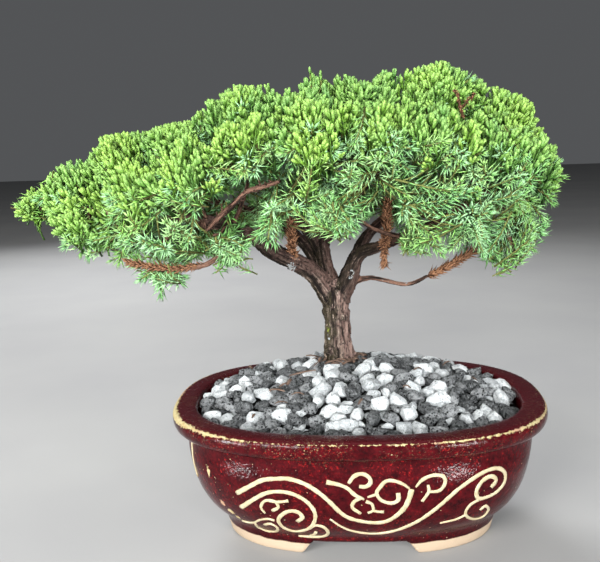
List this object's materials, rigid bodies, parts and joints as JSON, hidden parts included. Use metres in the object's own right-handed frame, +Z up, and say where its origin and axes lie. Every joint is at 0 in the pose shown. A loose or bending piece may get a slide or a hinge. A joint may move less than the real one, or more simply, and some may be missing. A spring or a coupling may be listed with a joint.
{
  "type": "bonsai tree",
  "caption": "Small garden juniper bonsai with a spreading, one-sided crown over a short trunk, in an oval red-glazed pot on four feet with pebble-covered soil.",
  "frame": {"origin": "on the ground the pot stands on, under the middle of the whole plant's bounding box; the pot's own centre lies 37 mm from it towards +X and 6 mm towards -Y, because the crown reaches out over the pot's left end", "axes": "+Z up; +X along the pot's length, to the right of the front view; -Y towards the viewer of the front view"},
  "size_m": [0.3174, 0.166, 0.2574],
  "materials": {
    "glazed_pot": "gloss",
    "soil": "matte",
    "gravel": "matte",
    "bark": "matte",
    "foliage": "satin",
    "dead_foliage": "matte"
  },
  "bodies": {
    "root": {"pot": "glazed_pot", "soil": "soil", "gravel": "gravel", "trunk_and_limbs": "bark", "dead_sprig_hanging": "dead_foliage", "dead_sprig_left": "dead_foliage", "dead_sprig_right": "dead_foliage", "spray_left_tip": "foliage", "spray_left_end": "foliage", "spray_left_end_low": "foliage", "spray_left_crest": "foliage", "spray_left_crest_front": "foliage", "spray_left_crest_back": "foliage", "spray_left_low": "foliage", "spray_left_low_front": "foliage", "spray_left_low_back": "foliage", "spray_left_hanging": "foliage", "spray_mid_left_top": "foliage", "spray_mid_left_front": "foliage", "spray_mid_left_back": "foliage", "spray_mid_left_low": "foliage", "spray_mid_left_low_front": "foliage", "spray_mid_left_low_back": "foliage", "spray_mid_left_hanging": "foliage", "spray_crown_left_top": "foliage", "spray_crown_left_front": "foliage", "spray_crown_left_back": "foliage", "spray_crown_left_low": "foliage", "spray_crown_left_low_front": "foliage", "spray_crown_left_low_back": "foliage", "spray_crown_mid_left_top": "foliage", "spray_crown_mid_left_front": "foliage", "spray_crown_mid_left_back": "foliage", "spray_crown_mid_left_low": "foliage", "spray_crown_mid_low_front": "foliage", "spray_crown_mid_low_back": "foliage", "spray_crown_mid_right_top": "foliage", "spray_crown_mid_right_front": "foliage", "spray_crown_mid_right_back": "foliage", "spray_crown_mid_right_low": "foliage", "spray_crown_right_low_front": "foliage", "spray_crown_right_low_back": "foliage", "spray_crown_right_top": "foliage", "spray_crown_right_front": "foliage", "spray_crown_right_back": "foliage", "spray_crown_right_low": "foliage", "spray_right_low_front": "foliage", "spray_right_low_back": "foliage", "spray_right_top": "foliage", "spray_right_front": "foliage", "spray_right_back": "foliage", "spray_right_end": "foliage", "spray_right_end_low": "foliage", "spray_right_hanging": "foliage", "spray_centre_low_front": "foliage"}
  },
  "joints": []
}
